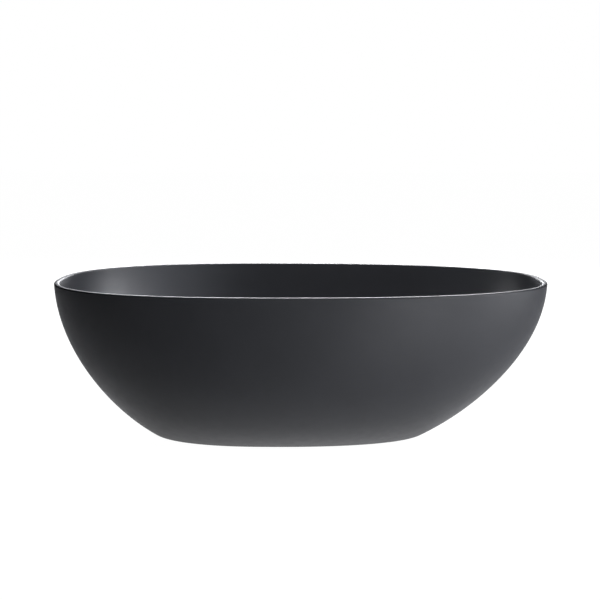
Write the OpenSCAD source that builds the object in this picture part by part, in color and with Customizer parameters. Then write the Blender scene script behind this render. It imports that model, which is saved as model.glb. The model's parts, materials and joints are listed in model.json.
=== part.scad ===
// Freestanding double-skinned bathtub with its support frame, feet, waste, trap and overflow.
// Millimetres. X is the long axis, Y the width, Z up, with the floor at z = 0.

/* [Overall] */
// Length over the rim
bath_length = 1700; // [1600:10:1800]
// Width over the rim
bath_width = 780; // [750:10:820]
// Height of the rim above the floor
bath_height = 560; // [550:5:600]
// Width of the flat rim
rim_width = 16; // [15:1:20]

/* [Outer shell] */
// Distance from the middle to the steeper foot end, at the floor
base_reach_left = 525; // [510:5:560]
// Distance from the middle to the reclining end, at the floor
base_reach_right = 438; // [420:2:460]
// Half of the width at the floor
base_half_width = 180; // [174:2:200]
// Where the widest section of the rim lies along the bath
rim_widest_x = -105; // [-120:5:-80]
// Where the widest section of the base lies along the bath
base_widest_x = -120; // [-130:5:-90]
// Squareness of the rim outline, 2 being an ellipse
rim_squareness = 2.45; // [2.3:0.05:2.7]
// Squareness of the base outline
base_squareness = 2.3; // [2.2:0.05:2.6]
// How soon the two ends stand up above the base
end_rise = 2; // [1.8:0.1:2.4]
// How soon the long sides stand up above the base
side_rise = 5; // [4.5:0.25:5.5]
// Gap between the skirt and the floor
skirt_gap = 3; // [2:0.5:6]
// Radius of the bottom edge of the skirt
skirt_edge = 8; // [6:1:10]
// Wall of both skins
wall = 5; // [4.5:0.5:5.5]

/* [Basin] */
// Height of the basin floor above the ground, at its outer edge
basin_floor_z = 145; // [143:1:147]
// Fall of the basin floor towards the waste
basin_fall = 4; // [3:1:5]
// Distance from the middle to the left edge of the basin floor
floor_reach_left = 400; // [380:10:420]
// Distance from the middle to the right edge of the basin floor
floor_reach_right = 345; // [330:5:360]
// Half of the width of the basin floor
floor_half_width = 200; // [190:5:205]
// Squareness of the basin floor outline
floor_squareness = 2.6; // [2.4:0.1:2.8]

/* [Frame and feet] */
// Distance of the frame rails from the middle
rail_y = 95; // [92:1:98]
// Side of the square frame tube
tube_side = 25; // [25:1:26]
// Distance that each foot screws out
foot_travel = 20; // [10:1:20]

/* [Waste and overflow] */
// Position of the waste along the bath
waste_x = -60; // [-70:5:-50]
// Distance from the rim down to the overflow
overflow_drop = 100; // [96:1:104]
// Distance that the plug is pressed down
plug_travel = 8; // [6:1:8]

/* [Hidden] */

$fn = 48;
// Slack between pieces that sit in or on one another
slack = 0.05;

// ---- Shape of the two skins -------------------------------------------------------------
half_length = bath_length / 2;
half_width = bath_width / 2;
// Points round each ring of a skin
ring_points = 72;
// Height of the rim flange, and the radius of its two edges
flange_z = bath_height - 6;
rim_edge = 5;
// Flat underside of the basin
basin_under_z = 135;
// Width of the lip that the skirt turns inwards along the floor
skirt_lip = 24;

// Signed power, which makes the superellipse outlines
function spow(v, e) = v < 0 ? -pow(-v, e) : pow(v, e);

// Outline of one ring: c is [left, right, half width, widest x, squareness], d an inset, z its height
function outline(c, d, z) = [for (i = [0 : ring_points - 1])
    let (a = 360 * i / ring_points, co = cos(a), si = sin(a), e = 2 / c[4],
        rx = co >= 0 ? c[1] - d - c[3] : c[3] - c[0] - d)
    [c[3] + rx * spow(co, e), (c[2] - d) * spow(si, e), z]];

function mix(a, b, f) = a + (b - a) * f;

// Share of the height, from the skirt to the rim
function share(z) = (z - skirt_gap) / (bath_height - skirt_gap);

// Outline values of the outer skin at a height
function shell_at(z) = let (t = share(z), fe = 1 - pow(1 - t, end_rise), fs = 1 - pow(1 - t, side_rise))
    [mix(-base_reach_left, -half_length, fe), mix(base_reach_right, half_length, fe),
     mix(base_half_width, half_width, fs), mix(base_widest_x, rim_widest_x, t),
     mix(base_squareness, rim_squareness, t)];

// Inset that gives a leaning wall the full wall thickness, from the run of the skin per unit of rise
function lean_inset(run) = wall * sqrt(1 + run * run);
function shell_inner_at(z) = let (c = shell_at(z), t = share(z), rise = bath_height - skirt_gap,
    run_l = end_rise * pow(1 - t, end_rise - 1) * (half_length - base_reach_left) / rise,
    run_r = end_rise * pow(1 - t, end_rise - 1) * (half_length - base_reach_right) / rise,
    run_s = side_rise * pow(1 - t, side_rise - 1) * (half_width - base_half_width) / rise)
    [c[0] + lean_inset(run_l), c[1] - lean_inset(run_r), c[2] - lean_inset(run_s), c[3], c[4]];

// Inner face of the basin at share u of the height from its floor to the rim
end_steepness = 0.625;
side_steepness = 0.42;
function basin_at(u) = let (ge = pow(1 - pow(1 - u, 2), end_steepness), gs = pow(u, side_steepness))
    [mix(-floor_reach_left, -half_length + rim_width, ge),
     mix(floor_reach_right, half_length - rim_width, ge),
     mix(floor_half_width, half_width - rim_width, gs),
     mix(waste_x, rim_widest_x, ge),
     mix(floor_squareness, rim_squareness, ge)];

// Triangles of a skin whose rings follow one another; closed joins the last ring to the first
function skin_faces(rings, closed) = [for (k = [0 : rings - (closed ? 1 : 2)], i = [0 : ring_points - 1])
    let (n = (k + 1) % rings, j = (i + 1) % ring_points,
        a = k * ring_points + i, b = k * ring_points + j, c = n * ring_points + j, d = n * ring_points + i)
    each [[a, b, c], [a, c, d]]];
function flat(rings) = [for (r = rings) each r];

// ---- Heights of the outer shell rings ----
shell_levels = 12;
shell_rings = concat(
    [outline(shell_at(flange_z), 0, flange_z)],
    [for (k = [shell_levels - 1 : -1 : 1]) let (z = skirt_gap + skirt_edge
        + (flange_z - skirt_gap - skirt_edge) * pow(k / shell_levels, 1.5)) outline(shell_at(z), 0, z)],
    [for (a = [0 : 30 : 90]) let (z = skirt_gap + skirt_edge * (1 - sin(a)))
        outline(shell_at(z), 0.9 * skirt_edge * (1 - cos(a)), z)],
    [outline(shell_at(skirt_gap), skirt_lip, skirt_gap),
     outline(shell_at(skirt_gap), skirt_lip, skirt_gap + wall)],
    [for (k = [0 : shell_levels - 3]) let (z = skirt_gap + wall + (flange_z - skirt_gap - wall)
        * pow(k / (shell_levels - 3), 1.5)) outline(shell_inner_at(z), 0, z)]);

module outer_shell() {
    color("#34363a") polyhedron(points = flat(shell_rings),
        faces = skin_faces(len(shell_rings), true), convexity = 10);
}

// ---- Basin rings ----
rim_outline = shell_at(bath_height);
basin_levels = 12;
basin_rise = bath_height - rim_edge - basin_floor_z;
// Share of the height at each wall level, closer together near the floor
function basin_share(k) = pow(k / basin_levels, 2);
basin_wall = [for (k = [basin_levels - 1 : -1 : 0]) let (u = basin_share(k))
    outline(basin_at(u), 0, basin_floor_z + basin_rise * u)];
// The back of the wall: sideways by the wall, dropping towards the flat underside at the floor
function back_inset(u) = mix(2, wall + 0.6, min(1, u * 14));
basin_back = [for (k = [0 : basin_levels - 1]) let (u = basin_share(k))
    outline(basin_at(u), -back_inset(u),
        mix(basin_under_z, basin_floor_z + basin_rise * u - wall * 0.5 * pow(1 - u, 3), min(1, u * 18)))];
// Flat circle of the floor round the waste, and the smallest ring that closes it
flat_r = 45;
centre_r = 12;
function waste_ring(r, z) = outline([waste_x - r, waste_x + r, r, waste_x, 2], 0, z);
// The lip leaves this much room inside the skirt
lip_inset = rim_width - wall - 0.6;
basin_rings = concat(
    [waste_ring(centre_r, basin_floor_z - basin_fall), waste_ring(flat_r, basin_floor_z - basin_fall)],
    [for (k = [len(basin_wall) - 1 : -1 : 0]) basin_wall[k]],
    [for (a = [0 : 30 : 90]) outline(rim_outline, rim_width - rim_edge * (1 - cos(a)),
        bath_height - rim_edge * (1 - sin(a)))],
    [for (a = [0 : 30 : 60]) outline(rim_outline, rim_edge * (1 - sin(a)),
        bath_height - rim_edge * (1 - cos(a)))],
    [outline(rim_outline, 0, bath_height - rim_edge),
     outline(rim_outline, 0, flange_z),
     outline(rim_outline, lip_inset, flange_z)],
    [for (k = [basin_levels - 1 : -1 : 0]) basin_back[k]],
    [waste_ring(centre_r, basin_under_z)]);

// Overflow axis: normal to the near wall, which leans by this angle
overflow_z = bath_height - overflow_drop;
overflow_share = (overflow_z - basin_floor_z) / basin_rise;
overflow_y = -basin_at(overflow_share)[2];
overflow_run = side_steepness * pow(overflow_share, side_steepness - 1)
    * (half_width - rim_width - floor_half_width) / basin_rise;
overflow_lean = atan(overflow_run);
overflow_bore = 24;
// Flat seats moulded round the overflow, in front of and behind the wall
overflow_seat = 0.8;
overflow_back = 7;
overflow_seat_r = 36;
overflow_boss_r = 34;

// Stands children at the overflow, their +Z pointing out through the wall towards the skirt
module at_overflow() {
    translate([waste_x, overflow_y, overflow_z]) rotate([90 + overflow_lean, 0, 0]) children();
}

// Waste: recess, bore and the boss beneath it
waste_recess = 38;
waste_seat_z = basin_floor_z - basin_fall - 3;
waste_bore = 26;
boss_z = waste_seat_z - 6;
boss_radius = 48;

module inner_basin() {
    color("#34363a") difference() {
        union() {
            polyhedron(points = flat(basin_rings),
                faces = skin_faces(len(basin_rings), true), convexity = 10);
            translate([waste_x, 0, boss_z]) cylinder(r = boss_radius, h = basin_under_z + 1 - boss_z);
            at_overflow() translate([0, 0, 3]) cylinder(r = overflow_boss_r, h = overflow_back - 3);
        }
        translate([waste_x, 0, waste_seat_z]) cylinder(r = waste_recess, h = 20);
        translate([waste_x, 0, boss_z - 1]) cylinder(r = waste_bore, h = 30);
        at_overflow() translate([0, 0, -12]) cylinder(r = overflow_seat_r, h = 12 + overflow_seat);
        at_overflow() translate([0, 0, -1]) cylinder(r = overflow_bore, h = 20);
    }
}

// Bead of bonding paste between the skins, under the flange
bead_gap = 0.3;
bead_depth = 8;
// How much further in the bead's lower edges lie, clear of the two leaning walls
bead_taper = 1.6;
module rim_adhesive() {
    outer_edge = wall + bead_gap;
    inner_edge = lip_inset - bead_gap;
    corners = [[outer_edge, 0], [outer_edge + bead_taper, -bead_depth],
        [inner_edge - bead_taper, -bead_depth], [inner_edge, 0]];
    rings = [for (p = corners) outline(rim_outline, p[0], flange_z + p[1])];
    color("#8a8f94") polyhedron(points = flat(rings),
        faces = skin_faces(len(rings), true), convexity = 10);
}

// ---- Board and frame ----------------------------------------------------------------------
board_thick = 18;
board_z = basin_under_z - board_thick;
board_left = -370;
board_right = 315;
board_half = 150;
board_corner = 90;
// Cut-out of the board round the waste and its nut
board_hole_r = 58;
rail_z = board_z - tube_side;
tube_wall = 2;
rail_left = -400;
rail_right = 285;
bar_length = 2 * rail_y - tube_side;
// Crossbars along the bath, and the feet beneath rails and middle crossbar
bar_x = [-350, 60, 230];
foot_at = [[bar_x[0], -rail_y], [bar_x[0], rail_y], [bar_x[1], 0], [bar_x[2], -rail_y], [bar_x[2], rail_y]];
foot_stud_r = 6;
// Screws from the rails up into the board
board_screw_at = [for (x = [-250, -130, 140], s = [-1, 1]) [x, s * rail_y]];
board_screw_r = 2.5;
// How far they reach into the board
board_screw_grip = 12;
// Brackets between rails and skirt: x, side of the bath, and reach of the foot
bracket_at = [[-200, -1], [-200, 1], [120, -1], [120, 1]];
bracket_wide = 30;
bracket_thick = 2.5;
bracket_low = skirt_gap + wall;
bracket_reach = [166, 166, 156, 156];
bracket_screw_r = 2.5;
// The skirt screw stands this far in from the end of the bracket
bracket_hole_in = 10;
// Height of the screw that holds a bracket to its rail
bracket_screw_z = rail_z + tube_side / 2;

module rounded_plate(x0, x1, half, r, h) {
    linear_extrude(h) union() {
        translate([x0 + r, -half]) square([x1 - x0 - 2 * r, 2 * half]);
        translate([x0, -half + r]) square([x1 - x0, 2 * half - 2 * r]);
        for (x = [x0 + r, x1 - r], y = [-half + r, half - r]) translate([x, y]) circle(r = r);
    }
}

module base_board() {
    color("#b08a58") difference() {
        translate([0, 0, board_z])
            rounded_plate(board_left, board_right, board_half, board_corner, board_thick);
        translate([waste_x, 0, board_z - 1]) cylinder(r = board_hole_r, h = board_thick + 2);
        for (p = board_screw_at)
            translate([p[0], p[1], board_z - 1])
                cylinder(r = board_screw_r + slack, h = board_screw_grip + 2);
    }
}

// Square tube lying along X, with its bore
module tube_x(x0, x1, y, z) {
    difference() {
        translate([x0, y - tube_side / 2, z]) cube([x1 - x0, tube_side, tube_side]);
        translate([x0 - 1, y - tube_side / 2 + tube_wall, z + tube_wall])
            cube([x1 - x0 + 2, tube_side - 2 * tube_wall, tube_side - 2 * tube_wall]);
    }
}

module rail(side) {
    color("#9aa0a6") difference() {
        tube_x(rail_left, rail_right, side * rail_y, rail_z);
        for (p = foot_at) if (p[1] == side * rail_y)
            translate([p[0], p[1], rail_z - 1]) cylinder(r = foot_stud_r + 0.5, h = tube_wall + 2);
        for (p = board_screw_at) if (p[1] == side * rail_y)
            translate([p[0], p[1], rail_z - 1]) cylinder(r = board_screw_r + slack, h = tube_side + 2);
        for (p = bracket_at) if (p[1] == side)
            translate([p[0], side * (rail_y + tube_side / 2 + 1), bracket_screw_z]) rotate([side * 90, 0, 0])
                cylinder(r = bracket_screw_r + slack, h = tube_wall + 2);
    }
}
module frame_rail_front() { rail(-1); }
module frame_rail_back() { rail(1); }

module crossbar(x, drilled) {
    color("#9aa0a6") difference() {
        translate([x, 0, 0]) rotate([0, 0, 90]) tube_x(-bar_length / 2, bar_length / 2, 0, rail_z);
        if (drilled) translate([x, 0, rail_z - 1]) cylinder(r = foot_stud_r + 0.5, h = tube_wall + 2);
    }
}
module frame_crossbar_left() { crossbar(bar_x[0], false); }
module frame_crossbar_centre() { crossbar(bar_x[1], true); }
module frame_crossbar_right() { crossbar(bar_x[2], false); }

module rail_end_caps() {
    head = 3;
    tongue = 12;
    bore = tube_side - 2 * tube_wall - 0.2;
    color("#222426") for (x = [rail_left, rail_right], s = [-1, 1]) {
        translate([x < 0 ? x - head : x, s * rail_y - tube_side / 2, rail_z])
            cube([head, tube_side, tube_side]);
        translate([x < 0 ? x : x - tongue, s * rail_y - bore / 2, rail_z + (tube_side - bore) / 2])
            cube([tongue, bore, bore]);
    }
}

module frame_screws() {
    color("#c3c6c9") for (p = board_screw_at) {
        translate([p[0], p[1], rail_z - 3]) cylinder(r = 2 * board_screw_r, h = 3);
        translate([p[0], p[1], rail_z - 1])
            cylinder(r = board_screw_r, h = 1 + tube_side + board_screw_grip - 1);
    }
}

// ---- Feet ---------------------------------------------------------------------------------
stud_fit = 0.06;
nut_across = 19;
weld_nut_high = 9;
lock_nut_high = 7;
pad_radius = 22;
pad_high = 10;
// The stud stands in a socket of the pad and reaches up into the tube
stud_foot_z = 6;
// The stud keeps this much thread in its nut when the foot is screwed right out
stud_grip = 5;
stud_top_z = rail_z - weld_nut_high + stud_grip + foot_travel;
stud_collar_r = 9;
stud_collar_high = 4;
stud_hex_across = 17;
pad_hub_z = 24;
pad_hub_r = 14;
lock_nut_z = rail_z - weld_nut_high - lock_nut_high;

module hex_nut(across, high, bore) {
    difference() {
        cylinder(d = across / cos(30), h = high, $fn = 6);
        translate([0, 0, -1]) cylinder(r = bore, h = high + 2);
    }
}

module foot_weld_nuts() {
    color("#c3c6c9") for (p = foot_at) translate([p[0], p[1], rail_z - weld_nut_high])
        hex_nut(nut_across, weld_nut_high, foot_stud_r + stud_fit);
}
module foot_lock_nuts() {
    color("#c3c6c9") for (p = foot_at) translate([p[0], p[1], lock_nut_z])
        hex_nut(nut_across, lock_nut_high, foot_stud_r + stud_fit);
}

// Threaded stud with the hexagon that turns it, and a collar that stands on the pad
module foot_stud(i) {
    p = foot_at[i - 1];
    color("#d2d5d8") translate([p[0], p[1], 0]) {
        translate([0, 0, stud_foot_z]) cylinder(r = foot_stud_r, h = stud_top_z - stud_foot_z);
        translate([0, 0, pad_hub_z + 0.3]) cylinder(d = stud_hex_across / cos(30), h = 8, $fn = 6);
        translate([0, 0, stud_foot_z]) cylinder(r = stud_collar_r, h = stud_collar_high);
    }
}
// Plastic pad with the socket that the stud turns in
module foot_pad(i) {
    p = foot_at[i - 1];
    color("#1d1f21") translate([p[0], p[1], 0]) difference() {
        union() {
            cylinder(r1 = pad_radius - 2, r2 = pad_radius, h = 2);
            translate([0, 0, 2]) cylinder(r = pad_radius, h = pad_high - 2);
            cylinder(r = pad_hub_r, h = pad_hub_z);
        }
        translate([0, 0, stud_foot_z - slack])
            cylinder(r = stud_collar_r + stud_fit, h = stud_collar_high + 2 * slack);
        translate([0, 0, stud_foot_z + 1]) cylinder(r = foot_stud_r + stud_fit, h = 30);
    }
}
module foot_stud_1() { foot_stud(1); }
module foot_stud_2() { foot_stud(2); }
module foot_stud_3() { foot_stud(3); }
module foot_stud_4() { foot_stud(4); }
module foot_stud_5() { foot_stud(5); }
module foot_pad_1() { foot_pad(1); }
module foot_pad_2() { foot_pad(2); }
module foot_pad_3() { foot_pad(3); }
module foot_pad_4() { foot_pad(4); }
module foot_pad_5() { foot_pad(5); }

// ---- Brackets that tie the frame to the skirt -----------------------------------------------
// Z-shaped strap: up the rail, down to the skirt lip and out along it
module shell_bracket(i) {
    x = bracket_at[i - 1][0];
    s = bracket_at[i - 1][1];
    reach = bracket_reach[i - 1];
    face = rail_y + tube_side / 2;
    color("#9aa0a6") difference() {
        union() {
            translate([x - bracket_wide / 2, s > 0 ? face : -face - bracket_thick, bracket_low])
                cube([bracket_wide, bracket_thick, rail_z + tube_side - 2 - bracket_low]);
            translate([x - bracket_wide / 2, s > 0 ? face : -reach, bracket_low])
                cube([bracket_wide, reach - face, bracket_thick]);
        }
        translate([x, s * (face + bracket_thick + 1), bracket_screw_z]) rotate([s * 90, 0, 0])
            cylinder(r = bracket_screw_r + slack, h = bracket_thick + 2);
        translate([x, s * (reach - bracket_hole_in), bracket_low - 1])
            cylinder(r = bracket_screw_r + slack, h = bracket_thick + 2);
    }
}
module shell_bracket_1() { shell_bracket(1); }
module shell_bracket_2() { shell_bracket(2); }
module shell_bracket_3() { shell_bracket(3); }
module shell_bracket_4() { shell_bracket(4); }

module pan_screw(r, length) {
    cylinder(r = 2 * r, h = 2.6);
    translate([0, 0, -length]) cylinder(r = r, h = length + 1);
}
module bracket_rail_screws() {
    color("#c3c6c9") for (p = bracket_at)
        translate([p[0], p[1] * (rail_y + tube_side / 2 + bracket_thick), bracket_screw_z])
            rotate([-p[1] * 90, 0, 0]) pan_screw(bracket_screw_r, 12);
}
module bracket_skirt_screws() {
    color("#c3c6c9") for (i = [0 : 3])
        translate([bracket_at[i][0], bracket_at[i][1] * (bracket_reach[i] - bracket_hole_in),
            bracket_low + bracket_thick]) pan_screw(bracket_screw_r, bracket_thick - slack);
}

// ---- Waste --------------------------------------------------------------------------------
tail_r = 23.5;
tail_bore = 20.5;
tail_low = 88;
seal_thick = 1;
flange_r = 35;
flange_low = waste_seat_z + seal_thick;
flange_high = flange_low + 3;
lower_seal_thick = 3;
lower_seal_r = 40;
waste_nut_high = 8;
waste_nut_across = 66;

module ring(outer, inner, z, high) {
    translate([0, 0, z]) difference() {
        cylinder(r = outer, h = high);
        translate([0, 0, -1]) cylinder(r = inner, h = high + 2);
    }
}

// Flange with its tail and the three-armed bridge that holds the plug cartridge
bridge_z = 104;
bridge_high = 5;
arm_wide = 3;
cartridge_r = 7;
mouth_r = 26;
mouth_deep = 5;
module waste_flange() {
    color("#c9ccd0") translate([waste_x, 0, 0]) difference() {
        union() {
            ring(flange_r, tail_bore, flange_low, flange_high - flange_low);
            ring(tail_r, tail_bore, tail_low, flange_low + 1 - tail_low);
            ring(cartridge_r + 3, cartridge_r + slack, bridge_z, bridge_high);
            for (a = [0 : 120 : 240]) rotate([0, 0, a])
                translate([cartridge_r + 2, -arm_wide / 2, bridge_z])
                    cube([tail_bore - cartridge_r - 1, arm_wide, bridge_high]);
        }
        // Sloping mouth that the plug seal closes on
        translate([0, 0, flange_high - mouth_deep]) cylinder(r1 = tail_bore, r2 = mouth_r, h = mouth_deep);
    }
}
module waste_seal_upper() {
    color("#2a2a2a") translate([waste_x, 0, 0]) ring(flange_r - 0.5, tail_r + 0.5, waste_seat_z, seal_thick);
}
module waste_seal_lower() {
    color("#2a2a2a") translate([waste_x, 0, 0])
        ring(lower_seal_r, tail_r + 0.3, boss_z - lower_seal_thick, lower_seal_thick);
}
module waste_nut() {
    z = boss_z - lower_seal_thick - waste_nut_high;
    color("#b58a3c") translate([waste_x, 0, z]) union() {
        difference() {
            cylinder(d = waste_nut_across / cos(30), h = waste_nut_high - 2, $fn = 6);
            translate([0, 0, -1]) cylinder(r = tail_r + slack, h = waste_nut_high);
        }
        ring(lower_seal_r - 1, tail_r + slack, waste_nut_high - 2, 2);
    }
}

// Plug, standing open at rest and pressed down to close
cap_r = 31;
cap_low = flange_high + plug_travel + 0.6;
stem_r = 3.5;
stem_low = bridge_z + 6;
module plug_cap() {
    color("#d5d8dc") translate([waste_x, 0, cap_low]) rotate_extrude() polygon([[0, 0], [cap_r - 1, 0],
        [cap_r, 1], [cap_r, 2], [cap_r - 1.2, 3.2], [cap_r - 9, 4.4], [cap_r - 20, 5], [0, 5.2]]);
}
module plug_seal() {
    color("#2a2a2a") translate([waste_x, 0, cap_low - 4]) difference() {
        cylinder(r1 = mouth_r - 4.6, r2 = mouth_r - 1.4, h = 4);
        translate([0, 0, -1]) cylinder(r = stem_r + slack, h = 6);
    }
}
cartridge_low = bridge_z - 14;
cartridge_high = bridge_z + bridge_high + 12;
cartridge_bore = 5.6;
cartridge_roof = 2;
module plug_stem() {
    color("#c9ccd0") translate([waste_x, 0, 0]) {
        translate([0, 0, stem_low]) cylinder(r = stem_r, h = cap_low - stem_low);
        // Washer under the seal, and the piston that stops against the cartridge roof
        translate([0, 0, cap_low - 7]) cylinder(r = 8, h = 3);
        translate([0, 0, stem_low])
            cylinder(r = cartridge_bore - 0.3, h = cartridge_high - cartridge_roof - 0.3 - stem_low);
    }
}
module plug_cartridge() {
    color("#c9ccd0") translate([waste_x, 0, 0]) difference() {
        union() {
            translate([0, 0, cartridge_low]) cylinder(r = cartridge_r, h = cartridge_high - cartridge_low);
            translate([0, 0, bridge_z + bridge_high]) cylinder(r = cartridge_r + 2, h = 2);
        }
        translate([0, 0, cartridge_low + 2])
            cylinder(r = cartridge_bore, h = cartridge_high - cartridge_roof - cartridge_low - 2);
        translate([0, 0, cartridge_high - 3]) cylinder(r = stem_r + stud_fit, h = 4);
    }
}
// Coil spring under the stem
spring_low = cartridge_low + 2;
spring_turns = 5;
spring_r = 4.6;
spring_wire = 0.5;
// Steps in one turn, and sides of the wire
spring_steps = 12;
wire_sides = 6;
module plug_spring() {
    count = spring_turns * spring_steps;
    rise = stem_low - spring_low - 2 * spring_wire - 0.2;
    points = [for (k = [0 : count], j = [0 : wire_sides - 1])
        let (a = 360 * k / spring_steps, w = 360 * j / wire_sides, r = spring_r + spring_wire * cos(w))
        [r * cos(a), r * sin(a), rise * k / count + spring_wire * sin(w)]];
    sides = [for (k = [0 : count - 1], j = [0 : wire_sides - 1])
        let (m = (j + 1) % wire_sides, p = k * wire_sides, q = p + wire_sides)
        each [[p + j, q + m, q + j], [p + j, p + m, q + m]]];
    ends = [for (j = [1 : wire_sides - 2]) each [[0, j + 1, j],
        [count * wire_sides, count * wire_sides + j, count * wire_sides + j + 1]]];
    color("#b9bcc0") translate([waste_x, 0, spring_low + spring_wire + 0.1])
        polyhedron(points = points, faces = concat(sides, ends), convexity = 10);
}

// ---- Trap ---------------------------------------------------------------------------------
trap_r = 44;
trap_wall = 3;
trap_top = 80;
trap_low = 34;
trap_neck_r = 29;
trap_neck_high = 6;
trap_washer_thick = tail_low - trap_top - trap_neck_high;
dip_r = 24;
dip_low = 28;
cup_low = 20;
cup_r = 48;
cup_high = 18;
cup_seal_thick = 2;
trap_nut_across = 68;
trap_nut_high = 19;
// The outlet leaves towards the left end and turns down
outlet_z = 62;
outlet_r = 20;
outlet_bore = 17.5;
outlet_way = 14;
outlet_boss_r = 23;
outlet_boss = -68;
// Depth of the socket in the boss, and how far the spigot goes into it
outlet_socket = 18;
outlet_in = 16;
outlet_turn = 26;
outlet_drop_x = -120;
outlet_low = 14;
nut_grip = 10;
nut_lip = 6;
washer_thick = 2;
// The overflow joins the trap on the near side
pipe_r = 9;
pipe_bore = 7.5;
pipe_z = 66;
port_r = 13;
port_end = -62;

// Boss that takes the outlet, flush with the top of the trap beneath the nut
module outlet_boss_solid() {
    difference() {
        translate([outlet_boss, 0, outlet_z]) rotate([0, 90, 0])
            cylinder(r = outlet_boss_r, h = -outlet_boss - trap_r + 14);
        translate([0, 0, trap_top]) cylinder(d = trap_nut_across / cos(30) + 4, h = 10);
    }
}
module trap_body() {
    color("#e6e6e3") translate([waste_x, 0, 0]) {
        difference() {
            union() {
                translate([0, 0, trap_low]) cylinder(r = trap_r, h = trap_top - trap_low);
                translate([0, 0, trap_top]) cylinder(r = trap_neck_r, h = trap_neck_high);
                outlet_boss_solid();
                translate([0, -trap_r + 12, pipe_z]) rotate([90, 0, 0])
                    cylinder(r = port_r, h = -port_end - trap_r + 12);
            }
            translate([0, 0, trap_low - 1])
                cylinder(r = trap_r - trap_wall, h = trap_top - trap_low - trap_wall + 1);
            translate([0, 0, trap_top - trap_wall - 1]) cylinder(r = dip_r - trap_wall, h = 20);
            translate([outlet_boss - 1, 0, outlet_z]) rotate([0, 90, 0])
                cylinder(r = outlet_r + slack, h = outlet_socket + 1);
            translate([outlet_boss, 0, outlet_z]) rotate([0, 90, 0]) cylinder(r = outlet_way, h = 36);
            translate([0, -trap_r + 12, pipe_z]) rotate([90, 0, 0]) cylinder(r = pipe_bore, h = 20);
            translate([0, port_end + 14, pipe_z]) rotate([90, 0, 0])
                cylinder(r = pipe_r + slack, h = 15);
        }
        ring(dip_r, dip_r - trap_wall, dip_low, trap_top - trap_wall + 1 - dip_low);
    }
}
module trap_nut() {
    color("#d8d8d4") translate([waste_x, 0, trap_top + 1]) difference() {
        cylinder(d = trap_nut_across / cos(30), h = trap_nut_high, $fn = 6);
        translate([0, 0, -1]) cylinder(r = trap_neck_r + slack, h = tail_low - trap_top);
        cylinder(r = tail_r + slack, h = 20);
    }
}
module trap_washer() {
    color("#2a2a2a") translate([waste_x, 0, 0])
        ring(trap_neck_r - 0.5, dip_r - trap_wall, trap_top + trap_neck_high, trap_washer_thick);
}
module trap_cup() {
    seat = trap_low - cup_seal_thick;
    color("#d8d8d4") translate([waste_x, 0, 0]) difference() {
        translate([0, 0, cup_low]) cylinder(r = cup_r, h = cup_high);
        translate([0, 0, seat]) cylinder(r = trap_r + slack, h = 20);
        translate([0, 0, cup_low + trap_wall]) cylinder(r = trap_r - trap_wall, h = 20);
    }
}
module trap_cup_seal() {
    color("#2a2a2a") translate([waste_x, 0, 0])
        ring(trap_r, trap_r - trap_wall, trap_low - cup_seal_thick, cup_seal_thick);
}

// Elbow: along -X out of the trap, then down to the floor drain
module elbow(r, over) {
    bend_x = outlet_drop_x + outlet_turn;
    bend_z = outlet_z - outlet_turn;
    translate([bend_x, 0, outlet_z]) rotate([0, 90, 0])
        cylinder(r = r, h = outlet_boss + outlet_in - bend_x + over);
    translate([bend_x, 0, bend_z]) rotate([90, 0, 0]) rotate([0, 0, 90])
        rotate_extrude(angle = 90) translate([outlet_turn, 0]) circle(r = r);
    translate([outlet_drop_x, 0, outlet_low - over]) cylinder(r = r, h = bend_z - outlet_low + over);
}
module outlet_spigot() {
    color("#e6e6e3") translate([waste_x, 0, 0]) difference() {
        elbow(outlet_r, 0);
        elbow(outlet_bore, 1);
    }
}
// Union nut that grips a boss and closes on the pipe, its mouth at z = 0 and its lip towards +Z
module union_nut(across, boss, pipe) {
    difference() {
        cylinder(d = across / cos(30), h = nut_grip + washer_thick + nut_lip, $fn = 6);
        translate([0, 0, -1]) cylinder(r = boss + slack, h = nut_grip + washer_thick + 1);
        cylinder(r = pipe + slack, h = 30);
    }
}
module outlet_nut() {
    color("#d8d8d4") translate([waste_x + outlet_boss + nut_grip, 0, outlet_z]) rotate([0, -90, 0])
        union_nut(54, outlet_boss_r, outlet_r);
}
module outlet_washer() {
    color("#2a2a2a") translate([waste_x + outlet_boss, 0, outlet_z]) rotate([0, -90, 0])
        ring(outlet_boss_r, outlet_r + slack, 0, washer_thick);
}

// ---- Overflow -----------------------------------------------------------------------------
overflow_flange_r = 33;
overflow_body_r = 29;
overflow_back_end = 21;
overflow_seal_thick = 2;
overflow_front = overflow_back + overflow_seal_thick;
overflow_screw_r = 2;
cover_gap = 9;
// Height of the pipe's knee, and how far inside the skirt it lies
pipe_knee_z = 170;
pipe_knee_in = 49;
pipe_knee_y = pipe_knee_in - shell_inner_at(pipe_knee_z)[2];
// Line of the pipe behind the wall, as [y, z] corners, from the overflow to the trap
pipe_corners = [[overflow_y - 16.2, overflow_z - 26], [pipe_knee_y, pipe_knee_z], [-235, pipe_z],
    [port_end + 13, pipe_z]];
// Ball-shaped elbow fittings at its two corners
knuckle_r = 12;
overflow_port_r = 11.5;
overflow_port_long = 26;
// The pipe ends this far below the top of its line
drop_stop = 4;
drop_leg = pipe_corners[1] - pipe_corners[0];
// Stands children at a corner, their +Z running along the leg
module along(corner, leg) {
    translate([waste_x, corner[0], corner[1]]) rotate([atan2(-leg[0], leg[1]), 0, 0]) children();
}

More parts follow.
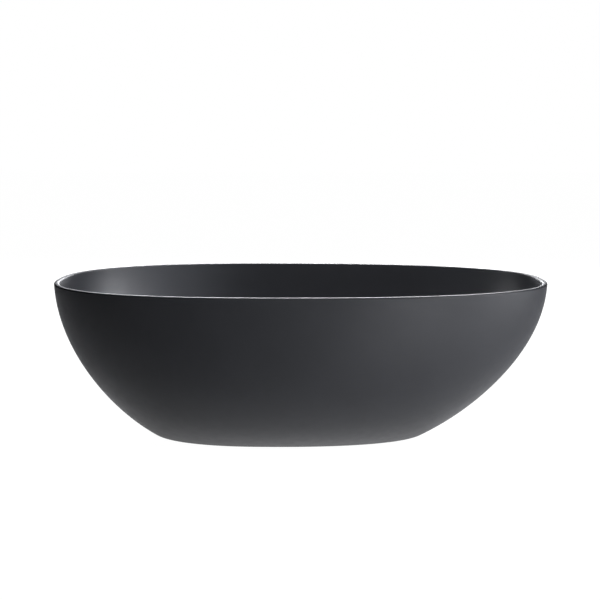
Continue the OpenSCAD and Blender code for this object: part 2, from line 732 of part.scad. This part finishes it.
module overflow_cover() {
    color("#d5d8dc") at_overflow() {
        translate([0, 0, -cover_gap - 3]) rotate_extrude() polygon([[0, 0], [overflow_flange_r - 4, 0],
            [overflow_flange_r - 1, 0.8], [overflow_flange_r, 2], [overflow_flange_r, 3], [0, 3]]);
        for (a = [90 : 120 : 330]) rotate([0, 0, a]) translate([overflow_flange_r - 5, 0, -cover_gap - 1])
            cylinder(r = 2.2, h = cover_gap - 1);
    }
}
module overflow_flange() {
    color("#c9ccd0") at_overflow() difference() {
        union() {
            ring(overflow_flange_r, overflow_bore - 3, -2, 2 + overflow_seat);
            translate([0, 0, -2]) cylinder(r = 7, h = 5);
            for (a = [30 : 120 : 270]) rotate([0, 0, a])
                translate([5, -2, -2]) cube([overflow_bore - 6, 4, 3]);
        }
        translate([0, 0, -3]) cylinder(r = overflow_screw_r + slack, h = 8);
    }
}
module overflow_screw() {
    color("#c3c6c9") at_overflow() {
        translate([0, 0, -4.4]) cylinder(r = 4, h = 2.4);
        translate([0, 0, -3]) cylinder(r = overflow_screw_r, h = 15);
    }
}
module overflow_seal() {
    color("#2a2a2a") at_overflow() ring(overflow_body_r, overflow_bore, overflow_back, overflow_seal_thick);
}
module overflow_body() {
    color("#e6e6e3") difference() {
        union() {
            at_overflow() translate([0, 0, overflow_front])
                cylinder(r = overflow_body_r, h = overflow_back_end - overflow_front);
            along(pipe_corners[0], drop_leg) cylinder(r = overflow_port_r, h = overflow_port_long);
        }
        at_overflow() difference() {
            translate([0, 0, overflow_front - 1])
                cylinder(r = overflow_bore, h = overflow_back_end - overflow_front - 1);
            cylinder(r = 5, h = 30);
        }
        at_overflow() cylinder(r = overflow_screw_r + slack, h = 16);
        along(pipe_corners[0], drop_leg) translate([0, 0, drop_stop - slack])
            cylinder(r = pipe_r + slack, h = overflow_port_long);
        along(pipe_corners[0], drop_leg) translate([0, 0, -4])
            cylinder(r = pipe_bore - 1, h = overflow_port_long);
    }
    // Threaded post for the cover screw
    color("#e6e6e3") at_overflow() difference() {
        translate([0, 0, 3 + slack]) cylinder(r = 5, h = overflow_back_end - 4);
        cylinder(r = overflow_screw_r + slack, h = 16);
    }
}

// Straight legs of the pipe, joined at its corners by balls
module pipe_run(r, ball, over) {
    last = len(pipe_corners) - 2;
    for (i = [0 : last]) {
        leg = pipe_corners[i + 1] - pipe_corners[i];
        from = i == 0 ? drop_stop - over : 0;
        along(pipe_corners[i], leg) translate([0, 0, from])
            cylinder(r = r, h = norm(leg) - from + (i == last ? over : 0));
        if (i > 0) translate([waste_x, pipe_corners[i][0], pipe_corners[i][1]]) sphere(r = ball);
    }
}
module overflow_pipe() {
    color("#cfd0cd") difference() {
        pipe_run(pipe_r, knuckle_r, 0);
        pipe_run(pipe_bore, pipe_bore + 0.5, 1);
    }
}
module overflow_pipe_nut() {
    color("#d8d8d4") translate([waste_x, port_end + nut_grip, pipe_z]) rotate([90, 0, 0])
        union_nut(32, port_r, pipe_r);
}
module overflow_pipe_washer() {
    color("#2a2a2a") translate([waste_x, port_end, pipe_z]) rotate([90, 0, 0])
        ring(port_r, pipe_r + slack, 0, washer_thick);
}

outer_shell();
inner_basin();
rim_adhesive();
base_board();
frame_rail_front();
frame_rail_back();
frame_crossbar_left();
frame_crossbar_centre();
frame_crossbar_right();
rail_end_caps();
frame_screws();
foot_weld_nuts();
foot_lock_nuts();
foot_stud_1();
foot_pad_1();
foot_stud_2();
foot_pad_2();
foot_stud_3();
foot_pad_3();
foot_stud_4();
foot_pad_4();
foot_stud_5();
foot_pad_5();
shell_bracket_1();
shell_bracket_2();
shell_bracket_3();
shell_bracket_4();
bracket_rail_screws();
bracket_skirt_screws();
waste_flange();
waste_seal_upper();
waste_seal_lower();
waste_nut();
plug_cap();
plug_seal();
plug_stem();
plug_cartridge();
plug_spring();
trap_body();
trap_nut();
trap_washer();
trap_cup();
trap_cup_seal();
outlet_spigot();
outlet_nut();
outlet_washer();
overflow_cover();
overflow_flange();
overflow_screw();
overflow_seal();
overflow_body();
overflow_pipe();
overflow_pipe_nut();
overflow_pipe_washer();
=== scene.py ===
"""Looks for the freestanding bathtub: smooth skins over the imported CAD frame, materials, light and camera."""
import json
import math

import bmesh
import bpy
import numpy as np
from mathutils import Matrix, Vector


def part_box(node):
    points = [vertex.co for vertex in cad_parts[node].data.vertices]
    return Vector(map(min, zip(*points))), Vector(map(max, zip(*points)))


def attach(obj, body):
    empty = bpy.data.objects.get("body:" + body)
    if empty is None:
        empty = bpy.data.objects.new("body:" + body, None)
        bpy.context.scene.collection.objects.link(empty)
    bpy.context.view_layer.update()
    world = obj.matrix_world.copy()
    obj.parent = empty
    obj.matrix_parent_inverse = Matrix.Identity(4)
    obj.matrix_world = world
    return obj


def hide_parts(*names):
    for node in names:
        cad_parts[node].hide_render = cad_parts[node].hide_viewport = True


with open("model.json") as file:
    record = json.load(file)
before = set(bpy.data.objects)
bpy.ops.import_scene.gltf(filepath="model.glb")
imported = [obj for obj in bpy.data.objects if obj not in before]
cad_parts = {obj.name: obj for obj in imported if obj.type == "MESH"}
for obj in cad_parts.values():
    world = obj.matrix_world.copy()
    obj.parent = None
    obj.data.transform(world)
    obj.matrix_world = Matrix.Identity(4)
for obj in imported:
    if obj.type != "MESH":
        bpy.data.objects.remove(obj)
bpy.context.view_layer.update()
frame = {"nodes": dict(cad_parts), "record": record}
NODES = frame["nodes"]
SLOT_OF = {s["node"]: s["material_slot"] for s in frame["record"]["subparts"]}

# ---- Driving dimensions, in metres, the same as the CAD part's ------------------------------
SHELL_LOW, SHELL_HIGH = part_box("outer_shell")
BASIN_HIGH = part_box("inner_basin")[1]
HALF_LENGTH = BASIN_HIGH.x
HALF_WIDTH = BASIN_HIGH.y
HEIGHT = BASIN_HIGH.z
SKIRT_GAP = SHELL_LOW.z
FLANGE_Z = SHELL_HIGH.z
RIM_WIDTH = 0.016
BASE_REACH_LEFT = 0.525
BASE_REACH_RIGHT = 0.438
BASE_HALF_WIDTH = 0.180
RIM_WIDEST_X = -0.105
BASE_WIDEST_X = -0.120
RIM_SQUARENESS = 2.45
BASE_SQUARENESS = 2.3
END_RISE = 2.0
SIDE_RISE = 5.0
SKIRT_EDGE = 0.008
SKIRT_LIP = 0.024
WALL = 0.005
RIM_EDGE = 0.005
# Under the rim, the basin's wall is this much thicker than the skirt's
WALL_EXTRA = 0.0006
BASIN_FLOOR_Z = 0.145
BASIN_FALL = 0.004
BASIN_UNDER_Z = 0.135
FLOOR_REACH_LEFT = 0.400
FLOOR_REACH_RIGHT = 0.345
FLOOR_HALF_WIDTH = 0.200
FLOOR_SQUARENESS = 2.6
# How steeply the basin's ends and sides leave the floor
END_STEEPNESS = 0.625
SIDE_STEEPNESS = 0.42
WASTE_X = -0.060
# Flat circle of the floor round the waste
WASTE_FLAT = 0.045
WASTE_RECESS = 0.038
WASTE_BORE = 0.026
WASTE_BOSS = 0.048
WASTE_SEAT_Z = 0.138
BOSS_Z = 0.132
OVERFLOW_DROP = 0.100
OVERFLOW_BORE = 0.024
OVERFLOW_SEAT_R = 0.036
# Depths of the cuts along the overflow's axis, as from and to
OVERFLOW_SEAT = (-0.012, 0.0008)
OVERFLOW_HOLE = (-0.001, 0.019)

# Points round each ring of a skin, and how far they crowd towards its four axis crossings
RING_POINTS = 288
CROWDING = 0.12


# ---- Shape of the skins --------------------------------------------------------------------
def mix(a, b, f):
    return a + (b - a) * f


def signed_power(v, e):
    return np.sign(v) * np.abs(v) ** e


def outline(values, inset, z):
    """One ring as an array of points: values are left, right, half width, widest x and squareness."""
    left, right, half, widest, square = values
    angle = np.linspace(0, 2 * math.pi, RING_POINTS, endpoint=False)
    # Points closer together where the superellipse crosses its axes, so that no corner shows there
    angle = angle - CROWDING * np.sin(4 * angle)
    co, si = np.cos(angle), np.sin(angle)
    co[np.abs(co) < 1e-9] = 0
    si[np.abs(si) < 1e-9] = 0
    reach = np.where(co >= 0, right - inset - widest, widest - left - inset)
    x = widest + reach * signed_power(co, 2 / square)
    y = (half - inset) * signed_power(si, 2 / square)
    return np.column_stack([x, y, np.full_like(x, z)])


def circle(x, radius, z):
    """A ring of the same number of points on a true circle."""
    return outline((x - radius, x + radius, radius, x, 2), 0, z)


def share(z):
    return (z - SKIRT_GAP) / (HEIGHT - SKIRT_GAP)


def shell_at(z):
    """Outline values of the outer skin at a height."""
    t = share(z)
    end = 1 - (1 - t) ** END_RISE
    side = 1 - (1 - t) ** SIDE_RISE
    return (mix(-BASE_REACH_LEFT, -HALF_LENGTH, end), mix(BASE_REACH_RIGHT, HALF_LENGTH, end),
            mix(BASE_HALF_WIDTH, HALF_WIDTH, side), mix(BASE_WIDEST_X, RIM_WIDEST_X, t),
            mix(BASE_SQUARENESS, RIM_SQUARENESS, t))


def shell_inner_at(z):
    """Inner face of the outer skin: the wall's thickness in, more where the wall leans."""
    left, right, half, widest, square = shell_at(z)
    t = share(z)
    rise = HEIGHT - SKIRT_GAP

    def lean(exponent, run):
        slope = exponent * (1 - t) ** (exponent - 1) * run / rise
        return WALL * math.sqrt(1 + slope * slope)

    return (left + lean(END_RISE, HALF_LENGTH - BASE_REACH_LEFT),
            right - lean(END_RISE, HALF_LENGTH - BASE_REACH_RIGHT),
            half - lean(SIDE_RISE, HALF_WIDTH - BASE_HALF_WIDTH), widest, square)


def basin_at(u):
    """Inner face of the basin at share u of the height from its floor to the rim."""
    end = (1 - (1 - u) ** 2) ** END_STEEPNESS
    side = u ** SIDE_STEEPNESS
    return (mix(-FLOOR_REACH_LEFT, -HALF_LENGTH + RIM_WIDTH, end),
            mix(FLOOR_REACH_RIGHT, HALF_LENGTH - RIM_WIDTH, end),
            mix(FLOOR_HALF_WIDTH, HALF_WIDTH - RIM_WIDTH, side), mix(WASTE_X, RIM_WIDEST_X, end),
            mix(FLOOR_SQUARENESS, RIM_SQUARENESS, end))


def quarter(steps):
    """Angles from 0 to 90 degrees, both ends included."""
    return [0.5 * math.pi * k / steps for k in range(steps + 1)]


def shell_rings():
    """Rings of the outer skin from its top edge down, under the lip and up its inner face."""
    rings = [outline(shell_at(FLANGE_Z), 0, FLANGE_Z)]
    low = SKIRT_GAP + SKIRT_EDGE
    levels = 90
    for k in range(levels - 1, 0, -1):
        z = low + (FLANGE_Z - low) * (k / levels) ** 1.4
        rings.append(outline(shell_at(z), 0, z))
    for a in quarter(8):
        z = SKIRT_GAP + SKIRT_EDGE * (1 - math.sin(a))
        rings.append(outline(shell_at(z), 0.9 * SKIRT_EDGE * (1 - math.cos(a)), z))
    rings.append(outline(shell_at(SKIRT_GAP), SKIRT_LIP, SKIRT_GAP))
    rings.append(outline(shell_at(SKIRT_GAP), SKIRT_LIP, SKIRT_GAP + WALL))
    low = SKIRT_GAP + WALL
    levels = 24
    for k in range(levels + 1):
        z = low + (FLANGE_Z - low) * (k / levels) ** 1.5
        rings.append(outline(shell_inner_at(z), 0, z))
    return rings


def basin_rings():
    """Rings of the basin from the waste bore out over the floor, up, over the rim, and back beneath."""
    floor_z = BASIN_FLOOR_Z - BASIN_FALL
    # Radius of the recess's upper edge, and the chamfer in its bottom corner
    soft = 0.0008
    chamfer = 0.0005
    rings = [circle(WASTE_X, WASTE_BORE, BOSS_Z), circle(WASTE_X, WASTE_BORE, WASTE_SEAT_Z),
             circle(WASTE_X, WASTE_RECESS - chamfer, WASTE_SEAT_Z),
             circle(WASTE_X, WASTE_RECESS, WASTE_SEAT_Z + chamfer)]
    for a in quarter(4):
        radius = WASTE_RECESS + soft * (1 - math.cos(a))
        rings.append(circle(WASTE_X, radius, floor_z - soft * (1 - math.sin(a))))
    # Floor: it falls to the waste, and its outline grows from a circle to the floor's own
    rise = HEIGHT - RIM_EDGE - BASIN_FLOOR_Z
    edge = outline(basin_at(0), 0, BASIN_FLOOR_Z)
    start = circle(WASTE_X, WASTE_FLAT, floor_z)
    steps = 30
    for k in range(steps):
        f = k / steps
        ring = mix(start, edge, f)
        ring[:, 2] = floor_z + BASIN_FALL * f * f * (3 - 2 * f)
        rings.append(ring)
    levels = 110
    for k in range(levels + 1):
        u = (k / levels) ** 2.2
        rings.append(outline(basin_at(u), 0, BASIN_FLOOR_Z + rise * u))
    rim = shell_at(HEIGHT)
    for a in quarter(8)[1:]:
        inset = RIM_WIDTH - RIM_EDGE * (1 - math.cos(a))
        rings.append(outline(rim, inset, HEIGHT - RIM_EDGE * (1 - math.sin(a))))
    for a in quarter(8)[:-1]:
        rings.append(outline(rim, RIM_EDGE * (1 - math.sin(a)), HEIGHT - RIM_EDGE * (1 - math.cos(a))))
    rings.append(outline(rim, 0, HEIGHT - RIM_EDGE))
    rings.append(outline(rim, 0, FLANGE_Z))
    rings.append(outline(rim, RIM_WIDTH - WALL - WALL_EXTRA, FLANGE_Z))
    # Back of the wall, which runs out into the flat underside of the floor
    levels = 24
    for k in range(levels - 1, -1, -1):
        u = (k / levels) ** 2
        inset = mix(0.002, WALL + WALL_EXTRA, min(1, u * 14))
        z = mix(BASIN_UNDER_Z, BASIN_FLOOR_Z + rise * u - WALL * 0.5 * (1 - u) ** 3, min(1, u * 18))
        rings.append(outline(basin_at(u), -inset, z))
    rings.append(circle(WASTE_X, WASTE_BOSS, BASIN_UNDER_Z))
    rings.append(circle(WASTE_X, WASTE_BOSS, BOSS_Z))
    return rings


def skin(name, rings):
    """A closed mesh from rings that follow one another and join up again."""
    points = np.vstack(rings)
    count = len(rings)
    faces = []
    for k in range(count):
        a, b = k * RING_POINTS, ((k + 1) % count) * RING_POINTS
        for i in range(RING_POINTS):
            j = (i + 1) % RING_POINTS
            faces.append((a + i, a + j, b + j, b + i))
    mesh = bpy.data.meshes.new(name)
    mesh.from_pydata(points.tolist(), [], faces)
    bm = bmesh.new()
    bm.from_mesh(mesh)
    bmesh.ops.recalc_face_normals(bm, faces=bm.faces)
    bm.to_mesh(mesh)
    bm.free()
    mesh.shade_smooth()
    piece = bpy.data.objects.new(name, mesh)
    bpy.context.scene.collection.objects.link(piece)
    return piece


def overflow_place():
    """Where the overflow's axis goes through the near wall, as a matrix with +Z running out through it."""
    rise = HEIGHT - RIM_EDGE - BASIN_FLOOR_Z
    z = HEIGHT - OVERFLOW_DROP
    u = (z - BASIN_FLOOR_Z) / rise
    run = SIDE_STEEPNESS * u ** (SIDE_STEEPNESS - 1) * (HALF_WIDTH - RIM_WIDTH - FLOOR_HALF_WIDTH) / rise
    lean = math.atan(run)
    return Matrix.Translation((WASTE_X, -basin_at(u)[2], z)) @ Matrix.Rotation(math.pi / 2 + lean, 4, "X")


def cut_cylinder(piece, place, radius, span):
    """Takes a cylinder out of a piece, over a span along the place's own Z."""
    low, high = span
    bm = bmesh.new()
    bmesh.ops.create_cone(bm, cap_ends=True, segments=96, radius1=radius, radius2=radius, depth=high - low,
                          matrix=place @ Matrix.Translation((0, 0, (low + high) / 2)))
    mesh = bpy.data.meshes.new("cutter")
    bm.to_mesh(mesh)
    bm.free()
    cutter = bpy.data.objects.new("cutter", mesh)
    bpy.context.scene.collection.objects.link(cutter)
    modifier = piece.modifiers.new("cut", "BOOLEAN")
    modifier.operation = "DIFFERENCE"
    modifier.solver = "EXACT"
    modifier.object = cutter
    bpy.context.view_layer.update()
    result = bpy.data.meshes.new_from_object(piece.evaluated_get(bpy.context.evaluated_depsgraph_get()))
    piece.modifiers.clear()
    piece.data = result
    bpy.data.objects.remove(cutter)


# ---- Materials -------------------------------------------------------------------------------
def material(name):
    """A new principled material: the material, its node tree and its shader."""
    made = bpy.data.materials.new(name)
    made.use_nodes = True
    tree = made.node_tree
    tree.nodes.clear()
    out = tree.nodes.new("ShaderNodeOutputMaterial")
    shader = tree.nodes.new("ShaderNodeBsdfPrincipled")
    tree.links.new(shader.outputs[0], out.inputs[0])
    return made, tree, shader


def position(tree):
    return tree.nodes.new("ShaderNodeTexCoord").outputs["Object"]


def noise(tree, scale, detail=3.0, rough=0.5, stretch=None):
    """A noise's factor in object space, in cells per metre, stretched along an axis if asked."""
    node = tree.nodes.new("ShaderNodeTexNoise")
    node.inputs["Scale"].default_value = scale
    node.inputs["Detail"].default_value = detail
    node.inputs["Roughness"].default_value = rough
    where = position(tree)
    if stretch:
        mapping = tree.nodes.new("ShaderNodeMapping")
        mapping.inputs["Scale"].default_value = stretch
        tree.links.new(where, mapping.inputs["Vector"])
        where = mapping.outputs[0]
    tree.links.new(where, node.inputs["Vector"])
    return node.outputs[0]


def ramp(tree, factor, low, high, start=0.3, end=0.7):
    """Maps a factor between two values or colours."""
    node = tree.nodes.new("ShaderNodeValToRGB")
    for element, at, value in zip(node.color_ramp.elements, (start, end), (low, high)):
        element.position = at
        element.color = (*value, 1) if isinstance(value, tuple) else (value, value, value, 1)
    tree.links.new(factor, node.inputs[0])
    return node.outputs[0]


def bump(tree, shader, factor, depth, strength=1.0, below=None):
    node = tree.nodes.new("ShaderNodeBump")
    node.inputs["Distance"].default_value = depth
    node.inputs["Strength"].default_value = strength
    tree.links.new(factor, node.inputs["Height"])
    if below:
        tree.links.new(below, node.inputs["Normal"])
    tree.links.new(node.outputs[0], shader.inputs["Normal"])
    return node.outputs[0]


def tint(color, factor):
    return tuple(c * factor for c in color)


def matt_acrylic():
    """Matt anthracite gel coat: a fine satin grain with very faint clouds."""
    made, tree, shader = material("matt_anthracite")
    base = (0.040, 0.0415, 0.047)
    clouds = noise(tree, 6, 4)
    tree.links.new(ramp(tree, clouds, tint(base, 0.94), tint(base, 1.06)), shader.inputs["Base Color"])
    tree.links.new(ramp(tree, noise(tree, 35, 4), 0.44, 0.5), shader.inputs["Roughness"])
    grain = bump(tree, shader, noise(tree, 1800, 2), 0.00006, 0.35)
    bump(tree, shader, noise(tree, 9, 2), 0.0012, 0.08, grain)
    return made


def moulded_plastic(name, base, roughness):
    made, tree, shader = material(name)
    clouds = noise(tree, 90, 3)
    tree.links.new(ramp(tree, clouds, tint(base, 0.93), tint(base, 1.05)), shader.inputs["Base Color"])
    polish = noise(tree, 260, 3)
    tree.links.new(ramp(tree, polish, roughness - 0.04, roughness + 0.05), shader.inputs["Roughness"])
    bump(tree, shader, noise(tree, 2600, 2), 0.00005, 0.4)
    return made


def black_rubber():
    made, tree, shader = material("black_rubber")
    base = (0.022, 0.022, 0.024)
    clouds = noise(tree, 140, 4)
    tree.links.new(ramp(tree, clouds, tint(base, 0.8), tint(base, 1.3)), shader.inputs["Base Color"])
    tree.links.new(ramp(tree, noise(tree, 400, 3), 0.62, 0.78), shader.inputs["Roughness"])
    bump(tree, shader, noise(tree, 3000, 3), 0.00008, 0.5)
    return made


def metal(name, base, roughness, grain=900.0, stretch=None, vary=0.05):
    """Metal with a fine finish: brushed where the grain is stretched along one axis."""
    made, tree, shader = material(name)
    shader.inputs["Metallic"].default_value = 1.0
    clouds = noise(tree, 30, 4)
    tree.links.new(ramp(tree, clouds, tint(base, 0.9), tint(base, 1.04)), shader.inputs["Base Color"])
    fine = noise(tree, grain, 3, 0.6, stretch)
    tree.links.new(ramp(tree, fine, roughness - vary, roughness + vary), shader.inputs["Roughness"])
    bump(tree, shader, fine, 0.00004, 0.3)
    return made


def zinc(name, base, roughness):
    """Zinc plating: pale steel with the faint blue and yellow clouds of its passivation."""
    made, tree, shader = material(name)
    shader.inputs["Metallic"].default_value = 1.0
    cloud = noise(tree, 24, 5, 0.6)
    cool = tuple(c * f for c, f in zip(base, (0.95, 1.0, 1.07)))
    warm = tuple(c * f for c, f in zip(base, (1.05, 1.02, 0.93)))
    tree.links.new(ramp(tree, cloud, cool, warm, 0.35, 0.65), shader.inputs["Base Color"])
    fine = noise(tree, 700, 4, 0.65)
    tree.links.new(ramp(tree, fine, roughness - 0.07, roughness + 0.08), shader.inputs["Roughness"])
    bump(tree, shader, fine, 0.00005, 0.35)
    return made


def chipboard():
    """Raw chipboard: flakes of several browns, lightly rough."""
    made, tree, shader = material("chipboard")
    flakes = tree.nodes.new("ShaderNodeTexVoronoi")
    flakes.inputs["Scale"].default_value = 420
    mapping = tree.nodes.new("ShaderNodeMapping")
    mapping.inputs["Scale"].default_value = (1.0, 0.45, 1.0)
    tree.links.new(position(tree), mapping.inputs["Vector"])
    tree.links.new(mapping.outputs[0], flakes.inputs["Vector"])
    tree.links.new(ramp(tree, flakes.outputs["Color"], (0.30, 0.19, 0.09), (0.62, 0.46, 0.28), 0.1, 0.9),
                   shader.inputs["Base Color"])
    tree.links.new(ramp(tree, noise(tree, 200, 3), 0.7, 0.85), shader.inputs["Roughness"])
    bump(tree, shader, flakes.outputs["Distance"], 0.0004, 0.6)
    return made


MATERIALS = {
    "acrylic": matt_acrylic(),
    "bonding_paste": moulded_plastic("bonding_paste", (0.3, 0.31, 0.32), 0.6),
    "board": chipboard(),
    "zinc_steel": zinc("zinc_steel", (0.55, 0.57, 0.6), 0.38),
    "black_plastic": moulded_plastic("black_plastic", (0.02, 0.02, 0.022), 0.45),
    "bright_steel": zinc("bright_steel", (0.62, 0.63, 0.65), 0.26),
    "chrome": metal("polished_chrome", (0.75, 0.76, 0.78), 0.2, 400.0, None, 0.04),
    "brass": metal("turned_brass", (0.68, 0.5, 0.24), 0.28, 900.0, (0.2, 0.2, 6.0)),
    "rubber": black_rubber(),
    "white_plastic": moulded_plastic("white_polypropylene", (0.75, 0.75, 0.72), 0.42),
}


# ---- Pieces ----------------------------------------------------------------------------------
def dress(piece, made):
    piece.data.materials.clear()
    piece.data.materials.append(made)


for node, obj in NODES.items():
    for index in range(len(obj.material_slots)):
        obj.material_slots[index].material = MATERIALS[SLOT_OF[node]]

outer = skin("outer_shell_skin", shell_rings())
basin = skin("inner_basin_skin", basin_rings())
seat_place = overflow_place()
cut_cylinder(basin, seat_place, OVERFLOW_SEAT_R, OVERFLOW_SEAT)
cut_cylinder(basin, seat_place, OVERFLOW_BORE, OVERFLOW_HOLE)
for piece, node in ((outer, "outer_shell"), (basin, "inner_basin")):
    dress(piece, MATERIALS["acrylic"])
    piece.data.set_sharp_from_angle(angle=math.radians(35))
    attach(piece, "tub")
    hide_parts(node)

# ---- Stage, light and camera -------------------------------------------------------------------
scene = bpy.context.scene
scene.view_settings.view_transform = "Standard"
scene.view_settings.look = "None"
scene.view_settings.exposure = 0
scene.view_settings.gamma = 1

# What the camera sees of the floor is mostly its own even glow, so it stays white with hardly any shadow
floor_mesh = bpy.data.meshes.new("floor")
FLOOR_REACH = 30
corners = [(x * FLOOR_REACH, y * FLOOR_REACH, 0) for x, y in ((-1, -1), (1, -1), (1, 1), (-1, 1))]
floor_mesh.from_pydata(corners, [], [(0, 1, 2, 3)])
floor = bpy.data.objects.new("floor", floor_mesh)
scene.collection.objects.link(floor)
floor_material = bpy.data.materials.new("pale_floor")
floor_material.use_nodes = True
tree = floor_material.node_tree
tree.nodes.clear()
FLOOR_BOUNCE = 0.7
FLOOR_GLOW = 0.996
FLOOR_SHADED = 0.1
# The floor throws its light upwards only near the bath, fading out at these distances along X and Y
POOL_LIGHT = 0.88
POOL_REACH = (1.3, 0.9)
bounce = tree.nodes.new("ShaderNodeBsdfDiffuse")
bounce.inputs[0].default_value = (FLOOR_BOUNCE, FLOOR_BOUNCE, FLOOR_BOUNCE, 1)
lit = tree.nodes.new("ShaderNodeEmission")
reach = tree.nodes.new("ShaderNodeMapping")
reach.inputs["Scale"].default_value = (1 / POOL_REACH[0], 1 / POOL_REACH[1], 1)
tree.links.new(position(tree), reach.inputs["Vector"])
pool = tree.nodes.new("ShaderNodeTexGradient")
pool.gradient_type = "SPHERICAL"
tree.links.new(reach.outputs[0], pool.inputs[0])
strength = tree.nodes.new("ShaderNodeMath")
strength.operation = "MULTIPLY"
strength.inputs[1].default_value = POOL_LIGHT
tree.links.new(pool.outputs[1], strength.inputs[0])
tree.links.new(strength.outputs[0], lit.inputs[1])
below = tree.nodes.new("ShaderNodeAddShader")
tree.links.new(bounce.outputs[0], below.inputs[0])
tree.links.new(lit.outputs[0], below.inputs[1])
glow = tree.nodes.new("ShaderNodeEmission")
glow.inputs[1].default_value = FLOOR_GLOW
shaded = tree.nodes.new("ShaderNodeBsdfDiffuse")
shaded.inputs[0].default_value = (FLOOR_SHADED, FLOOR_SHADED, FLOOR_SHADED, 1)
seen = tree.nodes.new("ShaderNodeAddShader")
tree.links.new(glow.outputs[0], seen.inputs[0])
tree.links.new(shaded.outputs[0], seen.inputs[1])
chosen = tree.nodes.new("ShaderNodeMixShader")
tree.links.new(tree.nodes.new("ShaderNodeLightPath").outputs["Is Camera Ray"], chosen.inputs[0])
tree.links.new(below.outputs[0], chosen.inputs[1])
tree.links.new(seen.outputs[0], chosen.inputs[2])
tree.links.new(chosen.outputs[0], tree.nodes.new("ShaderNodeOutputMaterial").inputs[0])
floor.data.materials.append(floor_material)

# The room: white behind the object as the camera sees it, and no light at all for the bath
WORLD_LIGHT = 0.0
world = bpy.data.worlds.new("studio")
scene.world = world
world.use_nodes = True
tree = world.node_tree
room = tree.nodes["Background"]
room.inputs[1].default_value = WORLD_LIGHT
backdrop = tree.nodes.new("ShaderNodeBackground")
chosen = tree.nodes.new("ShaderNodeMixShader")
tree.links.new(tree.nodes.new("ShaderNodeLightPath").outputs["Is Camera Ray"], chosen.inputs[0])
tree.links.new(room.outputs[0], chosen.inputs[1])
tree.links.new(backdrop.outputs[0], chosen.inputs[2])
tree.links.new(chosen.outputs[0], tree.nodes["World Output"].inputs[0])
for sky in (room, backdrop):
    sky.inputs[0].default_value = (1, 1, 1, 1)

# Soft boxes: name, place, what it aims at, size, spread in degrees, power in watts
BATH = (0, 0, 0.35)
LEFT_INSIDE = (-0.65, 0.1, 0.43)
LEFT_WALL = (-0.58, 0.26, 0.47)
RIGHT_END = (0.72, 0.14, 0.46)
COOL_WHITE = (0.97, 0.98, 1.02)
LIGHTS = [
    ("key", (2.2, -1.6, 1.4), BATH, (0.8, 0.8), 180, 29.5),
    ("low_right", (3.2, -1.2, 0.4), BATH, (2.0, 0.7), 180, 24.5),
    ("low_front", (1.2, -2.2, 0.35), BATH, (0.8, 0.6), 180, 7.5),
    ("inside", (0.8, 0.0, 1.6), LEFT_INSIDE, (0.5, 0.5), 50, 1.5),
    ("wall_left", (0.8, -0.5, 1.3), LEFT_WALL, (0.2, 0.2), 20, 0.33),
    ("end_right", (-1.2, -0.1, 1.2), RIGHT_END, (0.3, 0.3), 24, 0.24),
    ("back_low", (0.0, 4.2, 0.7), BATH, (3.4, 1.2), 180, 270),
    ("back_high", (0.0, 3.6, 2.2), BATH, (4.0, 1.2), 180, 110),
    ("top", (0.0, 0.0, 3.4), BATH, (3.0, 2.4), 180, 9),
]
for name, place, aim, size, spread, power in LIGHTS:
    data = bpy.data.lights.new(name, "AREA")
    data.shape = "RECTANGLE"
    data.size, data.size_y = size
    data.spread = math.radians(spread)
    data.energy = power
    data.color = COOL_WHITE
    light = bpy.data.objects.new(name, data)
    scene.collection.objects.link(light)
    light.location = place
    light.rotation_euler = (Vector(aim) - Vector(place)).to_track_quat("-Z", "Y").to_euler()
    light.visible_camera = False

camera_data = bpy.data.cameras.new("camera")
camera_data.lens = 50
camera_data.sensor_width = 36
camera = bpy.data.objects.new("camera", camera_data)
scene.collection.objects.link(camera)
camera.location = (0.0428, -2.891, 1.0189)
camera.rotation_euler = (math.pi / 2 - 0.1832, 0, 0.0153)
scene.camera = camera
